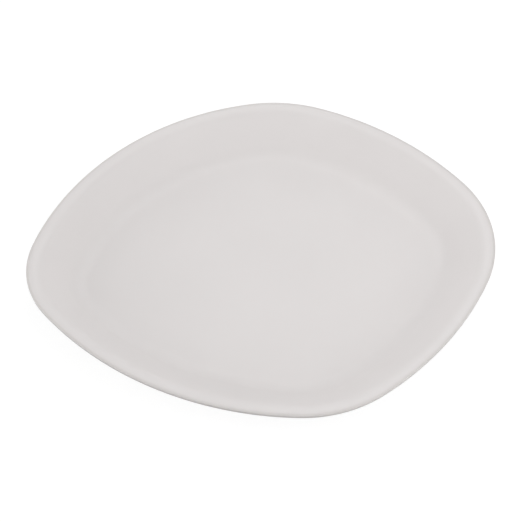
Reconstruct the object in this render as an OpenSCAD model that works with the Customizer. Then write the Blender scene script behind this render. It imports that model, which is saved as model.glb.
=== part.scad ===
// Glazed oblong platter, a coupe dish on a low foot ring.
// The outline is a soft kite of tangent arcs: a nose at -X, a heel at +X and a shoulder on each side.
// One section, drawn as inset from the lip edge against height, is carried round that outline.
// The origin is the middle of the outline, on the plane that the platter stands on.

/* [Outline] */
// Length over the lip, from the nose tip to the heel tip
platter_length = 356; // [320:1:400]
// Width over the lip, across the two shoulders
platter_width = 303; // [280:1:330]
// Radius of the nose, the tighter end
nose_r = 68; // [60:1:85]
// Radius of the heel, the blunter end
heel_r = 94; // [75:1:110]
// Radius of the shoulder on the far side, +Y
far_shoulder_r = 115; // [95:1:130]
// Radius of the shoulder on the near side, -Y
near_shoulder_r = 100; // [85:1:120]
// How far the far shoulder lies toward the heel
far_shoulder_x = 14; // [0:1:30]
// How far the near shoulder lies toward the heel
near_shoulder_x = 23; // [0:1:30]
// Radius of the side from the heel to the far shoulder
heel_far_side_r = 242; // [200:1:400]
// Radius of the side from the far shoulder to the nose
far_nose_side_r = 210; // [185:1:400]
// Radius of the side from the nose to the near shoulder
nose_near_side_r = 251; // [200:1:400]
// Radius of the side from the near shoulder to the heel
near_heel_side_r = 254; // [200:1:400]

/* [Well and rim] */
// Drop from the top of the lip to the floor of the well
well_depth = 21; // [16:0.5:24]
// Width of the sloping rim, from the lip edge to where its line meets the well floor
rim_width = 37; // [33:0.5:42]
// Radius of the hollow curve between the rim and the well floor
well_curve_r = 26; // [15:1:40]
// Radius of the ease with which the rim turns over its crest to the lip
lip_ease_r = 14; // [10:1:18]
// How far the ease turns down past the crest, in degrees
lip_turn = 9; // [4:1:15]
// Thickness of the lip, over the glaze
lip_thickness = 3.2; // [2.6:0.1:4.5]
// Radius of the two small edges of the lip's trimmed face
lip_edge_r = 0.7; // [0.65:0.05:1.2]
// Thickness of the rim at its root, over the glaze on both faces
rim_root_thickness = 4.4; // [3.2:0.1:6]
// Thickness of the floor, over the glaze on both faces
floor_thickness = 5; // [4:0.1:8]

/* [Foot ring] */
// Height of the foot ring below the underside of the floor
foot_height = 3; // [2:0.1:6]
// Width of the foot ring at its root
foot_width = 7; // [5:0.1:10]
// Slope of the foot ring's sides from upright, in degrees
foot_draft = 12; // [0:1:20]
// Radius of the hollow curves at the foot ring's root
foot_curve_r = 2; // [0.8:0.1:3]
// Radius of the worn edges of the standing face
foot_edge_r = 0.8; // [0.3:0.1:1.2]

/* [Glaze] */
// Thickness of the fired glaze
glaze_thickness = 0.4; // [0.2:0.05:0.6]
// Height of the bare clay band at the bottom of the foot ring
bare_height = 1.2; // [0.9:0.1:1.5]

/* [Hidden] */

// Most that a chord of the outline may lie inside its arc
outline_sag = 0.15;
// Steps in the well curve, each ease of the rim, each edge of the lip and each small curve of the foot
well_steps = 6;
ease_steps = 4;
lip_steps = 3;
foot_steps = 2;
// Flat floor that the section carries past its last curve, before its flat faces
flat_margin = 2;
// Share of a straight stretch that a hollow curve at its end may take up
curve_share = 0.9;

// Heights of the underside, the well floor and the crest
underside_z = foot_height;
well_z = underside_z + floor_thickness;
platter_height = well_z + well_depth;
lip_r = lip_thickness / 2;
lip_half = lip_r - lip_edge_r;

// The lip's own directions, its middle and the middles of its two edges, of which the upper one reaches the outline
lip_up = [-sin(lip_turn), cos(lip_turn)];
lip_out = [-cos(lip_turn), -sin(lip_turn)];
ease_z = platter_height - lip_ease_r;
lip_middle = [
  lip_edge_r + lip_half * (cos(lip_turn) + sin(lip_turn)),
  ease_z + (lip_ease_r - lip_r) * cos(lip_turn)
];
upper_edge = lip_middle + lip_half * (lip_out + lip_up);
lower_edge = lip_middle + lip_half * (lip_out - lip_up);

// Both faces of the rim ease over to the lip about one middle under the crest, a lip's thickness apart
ease_centre = lip_middle - (lip_ease_r - lip_r) * lip_up;
under_ease_r = lip_ease_r - lip_thickness;

// The rim runs from its ease to its root, where its upper line meets the well floor
rim_root = [rim_width, well_z];
rim_run = rim_root.x - ease_centre.x;
rim_drop = ease_centre.y - rim_root.y;
rim_reach = norm([rim_run, rim_drop]);
// Slopes of the rim's upper line and of its underside, which touch the ease on their own face
rim_slope = atan2(rim_drop, rim_run) + asin(lip_ease_r / rim_reach);
under_slope = atan2(rim_drop, rim_run) + asin((rim_root_thickness + under_ease_r) / rim_reach);

// The well curve is no larger than the straight stretch of the rim holds
ease_end = ease_centre + lip_ease_r * [sin(rim_slope), cos(rim_slope)];
well_room = norm(rim_root - ease_end) / tan(rim_slope / 2);
well_bend_r = min(well_curve_r, curve_share * well_room);

// The foot ring starts where the rim's underside comes down to the underside of the floor
root_under = rim_root - rim_root_thickness * [sin(under_slope), cos(under_slope)];
foot_inset = root_under.x + (root_under.y - underside_z) / tan(under_slope);
foot_inner = foot_inset + foot_width;

// Hollow curves at the foot ring's root, the inner one no larger than the glazed part of its side holds
root_turn = 90 - foot_draft - under_slope;
inner_turn = 90 - foot_draft;
inner_room = (foot_height - bare_height) / cos(foot_draft) / tan(inner_turn / 2);
inner_curve_r = min(foot_curve_r, curve_share * inner_room);
inner_reach = inner_curve_r * tan(inner_turn / 2);

// Insets at which the well curve ends and at which the whole section is flat
well_curve_inset = rim_width + well_bend_r * tan(rim_slope / 2);
flat_inset = max(well_curve_inset, foot_inner + inner_reach) + flat_margin;

// Points of an arc in the section
function arc(centre, r, from, to, steps) =
  [for (i = [0:steps]) let (a = from + (to - from) * i / steps) centre + r * [cos(a), sin(a)]];

// Insets of the foot ring's two sides at a height, moved into the clay by a depth
function foot_outer_side(z, depth) =
  foot_inset + (underside_z - z) * tan(foot_draft) + depth / cos(foot_draft);
function foot_inner_side(z, depth) =
  foot_inner - (underside_z - z) * tan(foot_draft) - depth / cos(foot_draft);

// Middle of the hollow curve between the rim's underside and the foot ring
root_centre = [foot_inset, underside_z]
  - foot_curve_r * tan(root_turn / 2) * [cos(under_slope), -sin(under_slope)]
  - foot_curve_r * [sin(under_slope), cos(under_slope)];

// Directions round the upper ease, with one at its crest, and round the lip's upper edge, with its outermost one
ease_directions = concat(
  [for (j = [0:ease_steps]) 90 - rim_slope * (1 - j / ease_steps)],
  [90 + lip_turn]
);
edge_directions = concat(
  [for (j = [0:lip_steps]) 90 + lip_turn + (90 - lip_turn) * j / lip_steps],
  [180 + lip_turn]
);

// Line of the eating face, the lip and the rim's underside, a depth below the glazed surface
function upper_line(depth) = concat(
  [[flat_inset, well_z - depth]],
  arc([well_curve_inset, well_z + well_bend_r], well_bend_r + depth, 270, 270 - rim_slope, well_steps),
  [for (a = ease_directions) ease_centre + (lip_ease_r - depth) * [cos(a), sin(a)]],
  [for (a = edge_directions) upper_edge + (lip_edge_r - depth) * [cos(a), sin(a)]],
  arc(lower_edge, lip_edge_r - depth, 180 + lip_turn, 270 + lip_turn, lip_steps),
  arc(ease_centre, under_ease_r + depth, 90 + lip_turn, 90 - under_slope, ease_steps),
  arc(root_centre, foot_curve_r + depth, 90 - under_slope, foot_draft, foot_steps)
);

// Line of the panel inside the foot ring, a depth above its glazed surface
function base_line(depth) = concat(
  arc([foot_inner + inner_reach, underside_z - inner_curve_r], inner_curve_r + depth,
    180 - foot_draft, 90, foot_steps),
  [[flat_inset, underside_z + depth]]
);

// Bare standing edge of the foot ring, from its outer side to its inner side
standing_edge = concat(
  arc([foot_outer_side(foot_edge_r, glaze_thickness + foot_edge_r), foot_edge_r], foot_edge_r,
    180 + foot_draft, 270, foot_steps),
  arc([foot_inner_side(foot_edge_r, glaze_thickness + foot_edge_r), foot_edge_r], foot_edge_r,
    270, 360 - foot_draft, foot_steps)
);

function reversed(list) = [for (i = [len(list) - 1:-1:0]) list[i]];
function outer_skin_line(depth) =
  concat(upper_line(depth), [[foot_outer_side(bare_height, depth), bare_height]]);
function base_skin_line(depth) =
  concat([[foot_inner_side(bare_height, depth), bare_height]], base_line(depth));
body_section = concat(upper_line(glaze_thickness), standing_edge, base_line(glaze_thickness));
outer_section = concat(outer_skin_line(0), reversed(outer_skin_line(glaze_thickness)));
base_section = concat(reversed(base_skin_line(glaze_thickness)), base_skin_line(0));

// Corner circles, counter-clockwise from the heel, and the side that leaves each one
corner_at = [
  [platter_length / 2 - heel_r, 0],
  [far_shoulder_x, platter_width / 2 - far_shoulder_r],
  [nose_r - platter_length / 2, 0],
  [near_shoulder_x, near_shoulder_r - platter_width / 2]
];
corner_r = [heel_r, far_shoulder_r, nose_r, near_shoulder_r];
side_r = [heel_far_side_r, far_nose_side_r, nose_near_side_r, near_heel_side_r];

// Middle of the arc that holds two corner circles inside itself and touches both
function side_centre(a, b, r) =
  let (
    reach_a = r - corner_r[a],
    reach_b = r - corner_r[b],
    span = corner_at[b] - corner_at[a],
    along = span / norm(span),
    left = [-along.y, along.x],
    run = (reach_a * reach_a - reach_b * reach_b + span * span) / (2 * norm(span))
  )
  corner_at[a] + run * along + sqrt(reach_a * reach_a - run * run) * left;
side_at = [for (i = [0:3]) side_centre(i, (i + 1) % 4, side_r[i])];

// Direction in which side i touches corner k
function touch(i, k) = let (d = corner_at[k] - side_at[i]) atan2(d.y, d.x);
function turn(from, to) = (to - from + 720) % 360;

// Each arc as its middle, its radius, its first direction and the angle it turns through
corner_arcs = [for (i = [0:3]) let (from = touch((i + 3) % 4, i), to = touch(i, i))
  [corner_at[i], corner_r[i], from, turn(from, to)]];
side_arcs = [for (i = [0:3]) let (from = touch(i, i), to = touch(i, (i + 1) % 4))
  [side_at[i], side_r[i], from, turn(from, to)]];

// A corner's arc in two, parted where it faces along its axis if it does
function parted(a, facing) =
  let (lead = turn(a[2], facing), first = lead < a[3] ? lead : 0)
  [[a[0], a[1], a[2], first], [a[0], a[1], a[2] + first, a[3] - first]];
outline_arcs = [for (i = [0:3]) each concat(parted(corner_arcs[i], 90 * i), [side_arcs[i]])];

// Stations round the outline, each an arc's middle, its radius and a direction
function arc_stations(a) =
  let (steps = ceil(a[3] / (2 * acos(1 - outline_sag / a[1]))))
  [for (j = [0:1:steps - 1]) [a[0], a[1], a[2] + a[3] * j / steps]];
stations = [for (a = outline_arcs) each arc_stations(a)];

function plan_point(s, inset) = s[0] + (s[1] - inset) * [cos(s[2]), sin(s[2])];

// A section carried round the outline, with a flat face across the middle at each of its ends
module carried(section) {
  count = len(section);
  laps = len(stations);
  points = [for (s = stations) for (p = section) let (q = plan_point(s, p.x)) [q.x, q.y, p.y]];
  sides = [for (i = [0:laps - 1]) for (j = [0:count - 2])
    let (
      a = i * count + j,
      b = a + 1,
      d = (i + 1) % laps * count + j,
      c = d + 1
    )
    each [[a, d, c], [a, c, b]]];
  upper_face = [for (i = [laps - 1:-1:0]) i * count];
  lower_face = [for (i = [0:laps - 1]) i * count + count - 1];
  polyhedron(points, concat(sides, [upper_face, lower_face]));
}

// The fired clay, with the bare standing face of its foot ring
module fired_body() {
  color("#ded3c2")
    carried(body_section);
}

// The glaze over the well, the rim, the lip and the underside down to the foot ring
module outer_glaze() {
  color("#e6e2e0")
    carried(outer_section);
}

// The glaze on the panel inside the foot ring
module base_glaze() {
  color("#e6e2e0")
    carried(base_section);
}

fired_body();
outer_glaze();
base_glaze();
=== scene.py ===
import math

import bpy
import numpy as np
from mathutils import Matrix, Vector


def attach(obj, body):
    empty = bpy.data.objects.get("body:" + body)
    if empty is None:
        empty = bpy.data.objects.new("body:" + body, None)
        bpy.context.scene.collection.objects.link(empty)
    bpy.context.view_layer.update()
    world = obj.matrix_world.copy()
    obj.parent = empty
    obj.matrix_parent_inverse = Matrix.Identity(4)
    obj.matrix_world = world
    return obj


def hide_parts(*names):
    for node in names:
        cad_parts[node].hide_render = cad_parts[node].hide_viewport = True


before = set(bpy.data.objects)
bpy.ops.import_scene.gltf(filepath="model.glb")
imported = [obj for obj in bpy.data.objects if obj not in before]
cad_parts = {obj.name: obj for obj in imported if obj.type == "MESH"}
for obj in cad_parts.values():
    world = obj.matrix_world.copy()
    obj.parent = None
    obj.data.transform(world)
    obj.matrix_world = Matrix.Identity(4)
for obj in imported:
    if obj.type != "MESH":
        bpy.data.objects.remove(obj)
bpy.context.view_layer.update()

scene = bpy.context.scene
scene.view_settings.view_transform = "Standard"
mm = 0.001  # the frame is in metres, the sizes below in millimetres

# Camera, as the photograph was taken

camera = {
    "azimuth": -6.99, "elevation": 52.2,  # degrees round the platter and above the table
    "distance": 1.5, "target": (-0.0014, -0.0074, 0.0275),  # metres
    "lens": 137.05, "sensor": 36,  # millimetres, on a square picture
    "clip": (0.05, 50),  # metres
}


def makeCamera(c):
    turn, rise = math.radians(c["azimuth"]), math.radians(c["elevation"])
    back = Vector((math.sin(turn) * math.cos(rise), -math.cos(turn) * math.cos(rise), math.sin(rise)))
    data = bpy.data.cameras.new("photoCamera")
    data.lens, data.sensor_width = c["lens"], c["sensor"]
    data.clip_start, data.clip_end = c["clip"]
    obj = bpy.data.objects.new("photoCamera", data)
    obj.location = Vector(c["target"]) + back * c["distance"]
    obj.rotation_mode = "QUATERNION"
    obj.rotation_quaternion = (-back).to_track_quat("-Z", "Y")
    scene.collection.objects.link(obj)
    scene.camera = obj


makeCamera(camera)
print("camera in place")

# Outline of the lip: four corner arcs and four side arcs, each touching the next

outline = {
    "length": 356, "width": 303,
    "cornerR": (94, 115, 68, 100),  # heel, far shoulder, nose, near shoulder
    "shoulderX": (14, 23),  # far and near shoulder, toward the heel
    "sideR": (242, 210, 251, 254),  # heel to far, far to nose, nose to near, near to heel
    "stepLength": 2.2,  # along the lip
}


def outlineStations(o):
    # Each station is an arc's middle, its radius and the direction from the middle to the lip.
    # A side's middle lies (sideR - cornerR) from both of its corners' middles, on their far side.
    r, sides = np.array(o["cornerR"], float), np.array(o["sideR"], float)
    at = np.array([
        [o["length"] / 2 - r[0], 0], [o["shoulderX"][0], o["width"] / 2 - r[1]],
        [r[2] - o["length"] / 2, 0], [o["shoulderX"][1], r[3] - o["width"] / 2],
    ])
    toNext = np.roll(at, -1, 0) - at
    span = np.linalg.norm(toNext, axis=1)
    along = toNext / span[:, None]
    left = np.stack([-along[:, 1], along[:, 0]], 1)
    reachA, reachB = sides - r, sides - np.roll(r, -1)
    run = (reachA ** 2 - reachB ** 2 + span ** 2) / (2 * span)
    sideAt = at + run[:, None] * along + np.sqrt(reachA ** 2 - run ** 2)[:, None] * left
    leave, reach = at - sideAt, np.roll(at, -1, 0) - sideAt
    leaveTurn = np.arctan2(leave[:, 1], leave[:, 0])  # where side i leaves corner i
    reachTurn = np.arctan2(reach[:, 1], reach[:, 0])  # where side i reaches corner i + 1
    pieces = []
    for i in range(4):
        pieces.append((at[i], r[i], reachTurn[i - 1], leaveTurn[i]))
        pieces.append((sideAt[i], sides[i], leaveTurn[i], reachTurn[i]))
    rows = []
    for middle, radius, start, end in pieces:
        sweep = (end - start) % (2 * np.pi)
        count = int(np.ceil(sweep * radius / o["stepLength"]))
        turn = start + sweep * np.arange(count) / count
        rows.append(np.stack([0 * turn + middle[0], 0 * turn + middle[1], 0 * turn + radius, turn], 1))
    return np.concatenate(rows)


stations = outlineStations(outline)
print("outline:", len(stations), "stations")

# Section of the platter, as inset from the lip edge against height

section = {
    "wellDepth": 21, "rimWidth": 37, "wellCurveR": 26,
    "lipEaseR": 14, "lipTurn": math.radians(9), "lipEdgeR": 0.7,
    "lipThickness": 3.2, "rimRootThickness": 4.4, "floorThickness": 5,
    "footHeight": 3, "footWidth": 7, "footDraft": math.radians(12),
    "footCurveR": 2, "footEdgeR": 0.8,
    "glazeThickness": 0.4, "bareHeight": 1.2,
    "flatMargin": 2, "curveShare": 0.9,
    "wellSteps": 20, "rimSteps": 6, "easeSteps": 10, "turnSteps": 4,
    "lipSteps": 6, "faceSteps": 3, "footSteps": 8, "standingSteps": 6, "floorRings": 9,
}


def sectionSizes(s):
    # Both faces of the rim ease over to the lip about one middle, straight under the crest.
    # The lip is trimmed across, with two small edges.
    # The root is where the rim's upper line meets the well floor.
    z = dict(s)
    z["undersideZ"] = s["footHeight"]
    z["wellZ"] = z["undersideZ"] + s["floorThickness"]
    z["lipR"] = s["lipThickness"] / 2
    z["easeZ"] = z["wellZ"] + s["wellDepth"] - s["lipEaseR"]
    up = np.array([-math.sin(s["lipTurn"]), math.cos(s["lipTurn"])])
    outward = np.array([-up[1], up[0]])
    half, lean = z["lipR"] - s["lipEdgeR"], s["lipEaseR"] - z["lipR"]
    middle = np.array([s["lipEdgeR"] + half * (up[1] - up[0]), z["easeZ"] + lean * up[1]])
    z["upperEdge"], z["lowerEdge"] = middle + half * (outward + up), middle + half * (outward - up)
    z["easeX"] = middle[0] - lean * up[0]
    z["underEaseR"] = s["lipEaseR"] - s["lipThickness"]
    run, drop = s["rimWidth"] - z["easeX"], z["easeZ"] - z["wellZ"]
    reach = math.hypot(run, drop)
    z["rimSlope"] = math.atan2(drop, run) + math.asin(s["lipEaseR"] / reach)
    z["underSlope"] = math.atan2(drop, run) + math.asin((s["rimRootThickness"] + z["underEaseR"]) / reach)
    rootX = s["rimWidth"] - s["rimRootThickness"] * math.sin(z["underSlope"])
    rootZ = z["wellZ"] - s["rimRootThickness"] * math.cos(z["underSlope"])
    z["footInset"] = rootX + (rootZ - z["undersideZ"]) / math.tan(z["underSlope"])
    z["footInner"] = z["footInset"] + s["footWidth"]
    rootTurn = math.pi / 2 - s["footDraft"] - z["underSlope"]
    innerTurn = math.pi / 2 - s["footDraft"]
    room = (s["footHeight"] - s["bareHeight"]) / math.cos(s["footDraft"]) / math.tan(innerTurn / 2)
    z["innerCurveR"] = min(s["footCurveR"], s["curveShare"] * room)
    z["innerReach"] = z["innerCurveR"] * math.tan(innerTurn / 2)
    z["wellCurveInset"] = s["rimWidth"] + s["wellCurveR"] * math.tan(z["rimSlope"] / 2)
    z["flatInset"] = max(z["wellCurveInset"], z["footInner"] + z["innerReach"]) + s["flatMargin"]
    back = s["footCurveR"] * math.tan(rootTurn / 2)
    z["rootCentre"] = np.array([
        z["footInset"] - back * math.cos(z["underSlope"]) - s["footCurveR"] * math.sin(z["underSlope"]),
        z["undersideZ"] + back * math.sin(z["underSlope"]) - s["footCurveR"] * math.cos(z["underSlope"]),
    ])
    return z


form = sectionSizes(section)


def arcLine(middle, radius, start, end, steps):
    # Points of a circle's arc from one direction to another
    turn = np.linspace(start, end, steps + 1)
    return np.array(middle) + radius * np.stack([np.cos(turn), np.sin(turn)], 1)


def straightLine(a, b, steps):
    # Even points between two points, without its ends
    share = np.linspace(0, 1, steps + 1)[1:-1, None]
    return np.array(a) * (1 - share) + np.array(b) * share


def upperLine(z, depth):
    # Well edge, well curve, rim, ease, lip, ease below and the hollow at the foot, a depth under the glaze
    hollow = arcLine((z["wellCurveInset"], z["wellZ"] + z["wellCurveR"]), z["wellCurveR"] + depth,
                     1.5 * math.pi, 1.5 * math.pi - z["rimSlope"], z["wellSteps"])
    level, middle = math.pi / 2, (z["easeX"], z["easeZ"])
    ease = arcLine(middle, z["lipEaseR"] - depth, level - z["rimSlope"], level, z["easeSteps"])
    turned = arcLine(middle, z["lipEaseR"] - depth, level, level + z["lipTurn"], z["turnSteps"])[1:]
    edge = z["lipEdgeR"] - depth
    upper = arcLine(z["upperEdge"], edge, level + z["lipTurn"], 2 * level + z["lipTurn"], z["lipSteps"])
    lower = arcLine(z["lowerEdge"], edge, 2 * level + z["lipTurn"], 3 * level + z["lipTurn"], z["lipSteps"])
    lip = np.concatenate([turned, upper, straightLine(upper[-1], lower[0], z["faceSteps"]), lower])
    underEase = arcLine(middle, z["underEaseR"] + depth,
                        level + z["lipTurn"], level - z["underSlope"], z["easeSteps"])
    root = arcLine(z["rootCentre"], z["footCurveR"] + depth,
                   math.pi / 2 - z["underSlope"], z["footDraft"], z["footSteps"])
    return np.concatenate([
        [[z["flatInset"], z["wellZ"] - depth]], hollow, straightLine(hollow[-1], ease[0], z["rimSteps"]),
        ease, lip, underEase, straightLine(underEase[-1], root[0], z["rimSteps"]), root,
    ])


def baseLine(z, depth):
    # Hollow inside the foot ring and the edge of the base panel, a depth above the glaze
    hollow = arcLine((z["footInner"] + z["innerReach"], z["undersideZ"] - z["innerCurveR"]),
                     z["innerCurveR"] + depth, math.pi - z["footDraft"], math.pi / 2, z["footSteps"])
    return np.concatenate([hollow, [[z["flatInset"], z["undersideZ"] + depth]]])


def footSide(z, height, depth, inner):
    # Inset of the foot ring's outer or inner side at a height, a depth into the clay
    lean = (z["undersideZ"] - height) * math.tan(z["footDraft"]) + depth / math.cos(z["footDraft"])
    return z["footInner"] - lean if inner else z["footInset"] + lean


def glazeEnd(z, inner):
    # Rolled end of the glaze above the bare band: half a round as thick as the glaze,
    # from its face to the clay
    half, height = z["glazeThickness"] / 2, z["bareHeight"] + z["glazeThickness"] / 2
    middle = (footSide(z, height, half, inner), height)
    face = -z["footDraft"] if inner else math.pi + z["footDraft"]
    sweep = -math.pi if inner else math.pi
    return arcLine(middle, half, face, face + sweep, z["footSteps"])


def standingEdge(z):
    # Bare bottom of the foot ring, with its two worn edges
    lift, depth = z["footEdgeR"], z["glazeThickness"] + z["footEdgeR"]
    outer = arcLine((footSide(z, lift, depth, False), lift), lift,
                    math.pi + z["footDraft"], 1.5 * math.pi, z["footSteps"])
    inner = arcLine((footSide(z, lift, depth, True), lift), lift,
                    1.5 * math.pi, 2 * math.pi - z["footDraft"], z["footSteps"])
    return np.concatenate([outer, straightLine(outer[-1], inner[0], z["standingSteps"]), inner])


def floored(z, line):
    # The line with the flat floor's rings added at both ends.
    # A third column says how far a point has drawn in to the axis.
    share = np.linspace(0, 1, z["floorRings"] + 1)[1:]
    rings = np.stack([0 * share + z["flatInset"], 0 * share, share], 1)
    first, last = rings[::-1].copy(), rings.copy()
    first[:, 1], last[:, 1] = line[0, 1], line[-1, 1]
    return np.concatenate([first, np.column_stack([line, np.zeros(len(line))]), last])


def carriedMesh(name, line, lift=None):
    # A point is arc middle + (arc radius - inset) * direction, drawn in to the axis by the third column.
    # The first and last points of the line are the two poles, so the mesh is closed.
    middle, radius, turn = stations[:, None, :2], stations[:, None, 2], stations[:, None, 3]
    towards = np.stack([np.cos(turn), np.sin(turn)], 2)
    plan = middle + (radius - line[None, :, 0])[:, :, None] * towards
    plan = plan * (1 - line[None, :, 2, None])
    height = np.broadcast_to(line[None, :, 1], plan.shape[:2]).copy()
    if lift is not None:
        height += lift
    grid = np.concatenate([plan, height[:, :, None]], 2) * mm
    laps, count = grid.shape[0], grid.shape[1] - 2
    points = np.concatenate([grid[:1, 0], grid[:, 1:-1].reshape(-1, 3), grid[:1, -1]])
    i, j = np.meshgrid(np.arange(laps), np.arange(count - 1), indexing="ij")
    here, there = 1 + i * count, 1 + (i + 1) % laps * count
    quads = np.stack([here + j, here + j + 1, there + j + 1, there + j], -1).reshape(-1, 4)
    lap = np.arange(laps)
    following = (lap + 1) % laps
    end = len(points) - 1
    firstCap = np.stack([0 * lap, 1 + lap * count, 1 + following * count], 1)
    lastCap = np.stack([0 * lap + end, following * count + count, lap * count + count], 1)
    mesh = bpy.data.meshes.new(name)
    mesh.from_pydata(points.tolist(), [], quads.tolist() + firstCap.tolist() + lastCap.tolist())
    mesh.polygons.foreach_set("use_smooth", np.ones(len(mesh.polygons), bool))
    mesh.validate()
    mesh.update()
    obj = bpy.data.objects.new(name, mesh)
    scene.collection.objects.link(obj)
    return obj


def storeAlong(obj, name, values):
    # One number for each point of the line, the same at every station, kept on the mesh for its material
    inner = np.tile(values[1:-1], len(stations))
    whole = np.concatenate([values[:1], inner, values[-1:]]).astype(np.float32)
    obj.data.attributes.new(name, "FLOAT", "POINT").data.foreach_set("value", whole)


# Colours and nodes


def linearColour(text):
    part = np.array([int(text[k:k + 2], 16) for k in (1, 3, 5)]) / 255
    value = np.where(part <= 0.04045, part / 12.92, ((part + 0.055) / 1.055) ** 2.4)
    return (*value.tolist(), 1.0)


def addNode(tree, kind, inputs, **settings):
    # Inputs pair a socket with a plain value or with another node's output
    node = tree.nodes.new(kind)
    for key, value in settings.items():
        setattr(node, key, value)
    for key, value in inputs.items():
        if isinstance(value, bpy.types.NodeSocket):
            tree.links.new(value, node.inputs[key])
        else:
            node.inputs[key].default_value = value
    return node


def newMaterial(name):
    material = bpy.data.materials.new(name)
    material.use_nodes = True
    material.node_tree.nodes.clear()
    return material, material.node_tree


# Glaze: tin-white satin glaze, dipped and fired. It is opaque, softly shining, a little warm,
# very slightly uneven, and darker on the lip's edge: partly a thinner glaze, partly painted shade for the
# dark line along the edge.

glaze = {
    # The lip's colour is painted shade on the lip's trimmed edge, standing partly for a thinner glaze there
    "colour": "#e1dddc", "pooledColour": "#dfdbda", "lipShadeColour": "#d6d2d0",
    # Sizes and heights in millimetres; the peel is drawn coarse enough to show
    "cloudSize": 55, "rippleSize": 26, "peelSize": 1.6,
    "rippleHeight": 0.03, "peelHeight": 0.003,
    "noiseSpan": (0.3, 0.7),  # the part of a noise's range that is spread to 0 and 1
    "roughness": (0.41, 0.47), "ior": 1.5,
    "lipReach": 0.8,  # how far past the trimmed edge the thin glaze and its painted shade fade out
    "waveHeight": 0.12, "waveReach": 0.6,  # of the wiped edge, and how far up it fades out
    "waves": ((7, 0.6, 1.0), (17, 2.1, 0.7), (31, 4.0, 0.5)),  # waves a lap, start in radians, share
}


def makeGlazeMaterial(g):
    material, tree = newMaterial("satinWhiteGlaze")
    place = addNode(tree, "ShaderNodeTexCoord", {}).outputs["Object"]
    thinAndShade = addNode(tree, "ShaderNodeAttribute", {}, attribute_name="thinGlazeAndShade").outputs["Fac"]
    clouds = addNode(tree, "ShaderNodeTexNoise", {
        "Vector": place, "Scale": 1000 / g["cloudSize"], "Detail": 3.0, "Roughness": 0.5})
    cloudShare = addNode(tree, "ShaderNodeMapRange", {
        "Value": clouds.outputs["Fac"], "From Min": g["noiseSpan"][0], "From Max": g["noiseSpan"][1]})
    body = addNode(tree, "ShaderNodeMix", {
        0: cloudShare.outputs["Result"], 6: linearColour(g["pooledColour"]),
        7: linearColour(g["colour"])}, data_type="RGBA")
    colour = addNode(tree, "ShaderNodeMix", {
        # Painted shade: toward the lip's trimmed edge the glaze colour is darkened, partly for a thinner
        # glaze, partly to paint the dark line along the edge
        0: thinAndShade, 6: body.outputs[2], 7: linearColour(g["lipShadeColour"])}, data_type="RGBA")
    ripple = addNode(tree, "ShaderNodeTexNoise", {
        "Vector": place, "Scale": 1000 / g["rippleSize"], "Detail": 1.0})
    peel = addNode(tree, "ShaderNodeTexNoise", {
        "Vector": place, "Scale": 1000 / g["peelSize"], "Detail": 2.0})
    rough = addNode(tree, "ShaderNodeMapRange", {
        "Value": ripple.outputs["Fac"], "From Min": g["noiseSpan"][0], "From Max": g["noiseSpan"][1],
        "To Min": g["roughness"][0], "To Max": g["roughness"][1]})
    slow = addNode(tree, "ShaderNodeBump", {
        "Height": ripple.outputs["Fac"], "Strength": 1.0, "Distance": g["rippleHeight"] * mm})
    fine = addNode(tree, "ShaderNodeBump", {
        "Height": peel.outputs["Fac"], "Strength": 1.0, "Distance": g["peelHeight"] * mm,
        "Normal": slow.outputs["Normal"]})
    shader = addNode(tree, "ShaderNodeBsdfPrincipled", {
        "Base Color": colour.outputs[2], "Roughness": rough.outputs["Result"],
        "IOR": g["ior"], "Normal": fine.outputs["Normal"]})
    addNode(tree, "ShaderNodeOutputMaterial", {"Surface": shader.outputs["BSDF"]})
    return material


# Clay: pale stoneware, fired and sponged. Dull and finely grained, with a few darker grits,
# and a little greyer where the standing face has been rubbed.

clay = {
    "colour": "#ded3c2", "darkColour": "#cbbda8", "gritColour": "#9c8a74", "rubbedColour": "#cfc8bd",
    "grainSize": 0.7, "gritSize": 2.6, "grainHeight": 0.05, "rubbedHeight": 0.5,  # millimetres
    "gritEdge": (0.10, 0.16),  # where a grit fades out, as a share of its cell
    "roughness": (0.78, 0.92), "ior": 1.5,
}


def makeClayMaterial(c):
    material, tree = newMaterial("bareStoneware")
    place = addNode(tree, "ShaderNodeTexCoord", {}).outputs["Object"]
    rubbed = addNode(tree, "ShaderNodeAttribute", {}, attribute_name="rubbedClay").outputs["Fac"]
    grain = addNode(tree, "ShaderNodeTexNoise", {
        "Vector": place, "Scale": 1000 / c["grainSize"], "Detail": 3.0, "Roughness": 0.6})
    grits = addNode(tree, "ShaderNodeTexVoronoi", {"Vector": place, "Scale": 1000 / c["gritSize"]})
    gritShare = addNode(tree, "ShaderNodeMapRange", {
        "Value": grits.outputs["Distance"], "From Min": c["gritEdge"][0], "From Max": c["gritEdge"][1],
        "To Min": 1.0, "To Max": 0.0})
    tone = addNode(tree, "ShaderNodeMix", {
        0: grain.outputs["Fac"], 6: linearColour(c["darkColour"]),
        7: linearColour(c["colour"])}, data_type="RGBA")
    worn = addNode(tree, "ShaderNodeMix", {
        0: rubbed, 6: tone.outputs[2], 7: linearColour(c["rubbedColour"])}, data_type="RGBA")
    gritty = addNode(tree, "ShaderNodeMix", {
        0: gritShare.outputs["Result"], 6: worn.outputs[2],
        7: linearColour(c["gritColour"])}, data_type="RGBA")
    rough = addNode(tree, "ShaderNodeMapRange", {
        "Value": grain.outputs["Fac"], "To Min": c["roughness"][0], "To Max": c["roughness"][1]})
    bump = addNode(tree, "ShaderNodeBump", {
        "Height": grain.outputs["Fac"], "Strength": 1.0, "Distance": c["grainHeight"] * mm})
    shader = addNode(tree, "ShaderNodeBsdfPrincipled", {
        "Base Color": gritty.outputs[2], "Roughness": rough.outputs["Result"],
        "IOR": c["ior"], "Normal": bump.outputs["Normal"]})
    addNode(tree, "ShaderNodeOutputMaterial", {"Surface": shader.outputs["BSDF"]})
    return material


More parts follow.
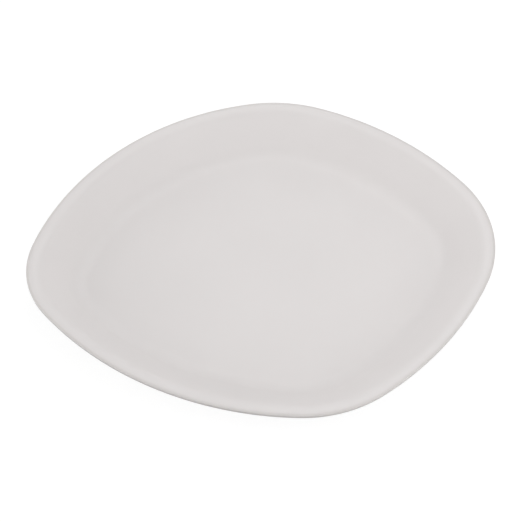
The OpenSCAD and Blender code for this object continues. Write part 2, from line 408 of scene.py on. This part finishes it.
glazeMaterial = makeGlazeMaterial(glaze)
clayMaterial = makeClayMaterial(clay)
print("materials made")

# The three pieces


def finishPiece(piece, material, node):
    piece.data.materials.append(material)
    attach(piece, "root")
    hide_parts(node)
    print("piece:", piece.name, len(piece.data.vertices), "points")


def wipedWave(weights):
    # Uneven wiped edge: a few whole waves round the outline, strongest where the glaze ends
    lap = np.linspace(0, 2 * np.pi, len(stations), endpoint=False)
    count, start, share = np.array(glaze["waves"]).T[:, :, None]
    wave = (share * np.sin(count * lap + start)).sum(0) / share.sum()
    return glaze["waveHeight"] * wave[:, None] * weights[None, :]


def endWeights(z, line):
    # 1 at the glaze's lowest edge, fading to 0 at the waves' reach above it
    return np.clip(1 - (line[:, 1] - z["bareHeight"]) / glaze["waveReach"], 0, 1)


def makeBody(z):
    line = np.concatenate([
        upperLine(z, z["glazeThickness"]), standingEdge(z), baseLine(z, z["glazeThickness"])])
    line = floored(z, line)
    piece = carriedMesh("firedBody", line)
    storeAlong(piece, "rubbedClay", np.clip(1 - line[:, 1] / clay["rubbedHeight"], 0, 1))
    finishPiece(piece, clayMaterial, "fired_body")


def makeOuterGlaze(z):
    under = upperLine(z, z["glazeThickness"])[::-1]
    line = floored(z, np.concatenate([upperLine(z, 0), glazeEnd(z, False), under]))
    piece = carriedMesh("outerGlaze", line, wipedWave(endWeights(z, line)))
    middle = (z["upperEdge"] + z["lowerEdge"]) / 2
    away = np.hypot(np.maximum(line[:, 0] - middle[0], 0), line[:, 1] - middle[1])
    # Mask of the lip edge's darker colour: partly thin glaze, partly painted shade along the edge
    storeAlong(piece, "thinGlazeAndShade", np.clip(1 - (away - z["lipR"]) / glaze["lipReach"], 0, 1))
    finishPiece(piece, glazeMaterial, "outer_glaze")


def makeBaseGlaze(z):
    over = baseLine(z, z["glazeThickness"])[::-1]
    line = floored(z, np.concatenate([over, glazeEnd(z, True)[::-1], baseLine(z, 0)]))
    piece = carriedMesh("baseGlaze", line, wipedWave(endWeights(z, line)))
    storeAlong(piece, "thinGlazeAndShade", np.zeros(len(line)))
    finishPiece(piece, glazeMaterial, "base_glaze")


makeBody(form)
makeOuterGlaze(form)
makeBaseGlaze(form)

# Studio: a white table, a surround that is white at the horizon and dims overhead, and soft lamps

studio = {
    "tableSize": 8.0, "tableDrop": 0.00005, "tableColour": "#aaaaaa",  # metres, just clear of the foot
    "whiteShare": 0.88, "shadowColour": "#7d7d7d",  # what the eye sees: white, with a faint shadow
    "horizon": 1.0, "overhead": 0.30,  # strengths of the surround
    "fade": (2, 36),  # degrees above the table, from the one strength to the other
    "lampDistance": 0.95,
    "lamps": {  # degrees round from +X and above the table, width and height in metres, power in watts
        "backLamp": {"turn": 76, "rise": 56, "size": (0.54, 0.48), "power": 2.35},
        "lowBackLamp": {"turn": 87, "rise": 15, "size": (0.60, 0.46), "power": 0.46},
        "leftLamp": {"turn": 177, "rise": 22, "size": (0.72, 0.46), "power": 2.65},
        "frontRightLamp": {"turn": 312, "rise": 29, "size": (0.72, 0.50), "power": 2.3},
        "frontLamp": {"turn": 270, "rise": 53, "size": (0.72, 0.50), "power": 0.8},
        "rightLamp": {"turn": 336, "rise": 53, "size": (0.72, 0.50), "power": 0.95},
    },
}


def seenByEye(tree):
    # 1 for what the camera sees, straight or in a reflection
    path = addNode(tree, "ShaderNodeLightPath", {})
    gloss = addNode(tree, "ShaderNodeMath", {
        0: path.outputs["Is Camera Ray"], 1: path.outputs["Is Glossy Ray"]}, operation="MAXIMUM")
    return addNode(tree, "ShaderNodeMath", {
        0: gloss.outputs[0], 1: path.outputs["Is Transmission Ray"]}, operation="MAXIMUM").outputs[0]


def makeTable(s):
    half = s["tableSize"] / 2
    mesh = bpy.data.meshes.new("table")
    corners = half * np.array([[-1, -1, 0], [1, -1, 0], [1, 1, 0], [-1, 1, 0]]) - [0, 0, s["tableDrop"]]
    mesh.from_pydata(corners.tolist(), [], [[0, 1, 2, 3]])
    table = bpy.data.objects.new("table", mesh)
    scene.collection.objects.link(table)
    material, tree = newMaterial("whitePaperTable")
    plain = addNode(tree, "ShaderNodeBsdfDiffuse", {"Color": linearColour(s["tableColour"])})
    shade = addNode(tree, "ShaderNodeBsdfDiffuse", {"Color": linearColour(s["shadowColour"])})
    glow = addNode(tree, "ShaderNodeEmission", {"Strength": s["whiteShare"]})
    seen = addNode(tree, "ShaderNodeAddShader", {0: glow.outputs[0], 1: shade.outputs[0]})
    mix = addNode(tree, "ShaderNodeMixShader", {
        0: seenByEye(tree), 1: plain.outputs[0], 2: seen.outputs[0]})
    addNode(tree, "ShaderNodeOutputMaterial", {"Surface": mix.outputs[0]})
    mesh.materials.append(material)


def makeSurround(s):
    # Strength by the height of the direction, on a smooth step from the horizon's to the one overhead
    world = bpy.data.worlds.new("studioSurround")
    world.use_nodes = True
    tree = world.node_tree
    tree.nodes.clear()
    towards = addNode(tree, "ShaderNodeTexCoord", {}).outputs["Generated"]
    height = addNode(tree, "ShaderNodeSeparateXYZ", {0: towards}).outputs["Z"]
    low, high = [math.sin(math.radians(a)) for a in s["fade"]]
    strength = addNode(tree, "ShaderNodeMapRange", {
        "Value": height, "From Min": low, "From Max": high,
        "To Min": s["horizon"], "To Max": s["overhead"]}, interpolation_type="SMOOTHSTEP")
    glow = addNode(tree, "ShaderNodeBackground", {
        "Color": (1, 1, 1, 1), "Strength": strength.outputs["Result"]})
    addNode(tree, "ShaderNodeOutputWorld", {"Surface": glow.outputs[0]})
    scene.world = world


def makeLamps(s):
    # Every lamp stands on a dome round the platter and faces its middle
    for name, lamp in s["lamps"].items():
        turn, rise = math.radians(lamp["turn"]), math.radians(lamp["rise"])
        towards = Vector((math.cos(rise) * math.cos(turn), math.cos(rise) * math.sin(turn), math.sin(rise)))
        data = bpy.data.lights.new(name, "AREA")
        data.shape = "RECTANGLE"
        data.size, data.size_y = lamp["size"]
        data.energy = lamp["power"]
        obj = bpy.data.objects.new(name, data)
        obj.location = towards * s["lampDistance"]
        obj.rotation_mode = "QUATERNION"
        obj.rotation_quaternion = (-towards).to_track_quat("-Z", "Y")
        obj.visible_camera = False
        scene.collection.objects.link(obj)


makeTable(studio)
makeSurround(studio)
makeLamps(studio)
print("studio lit with", len(studio["lamps"]), "lamps")
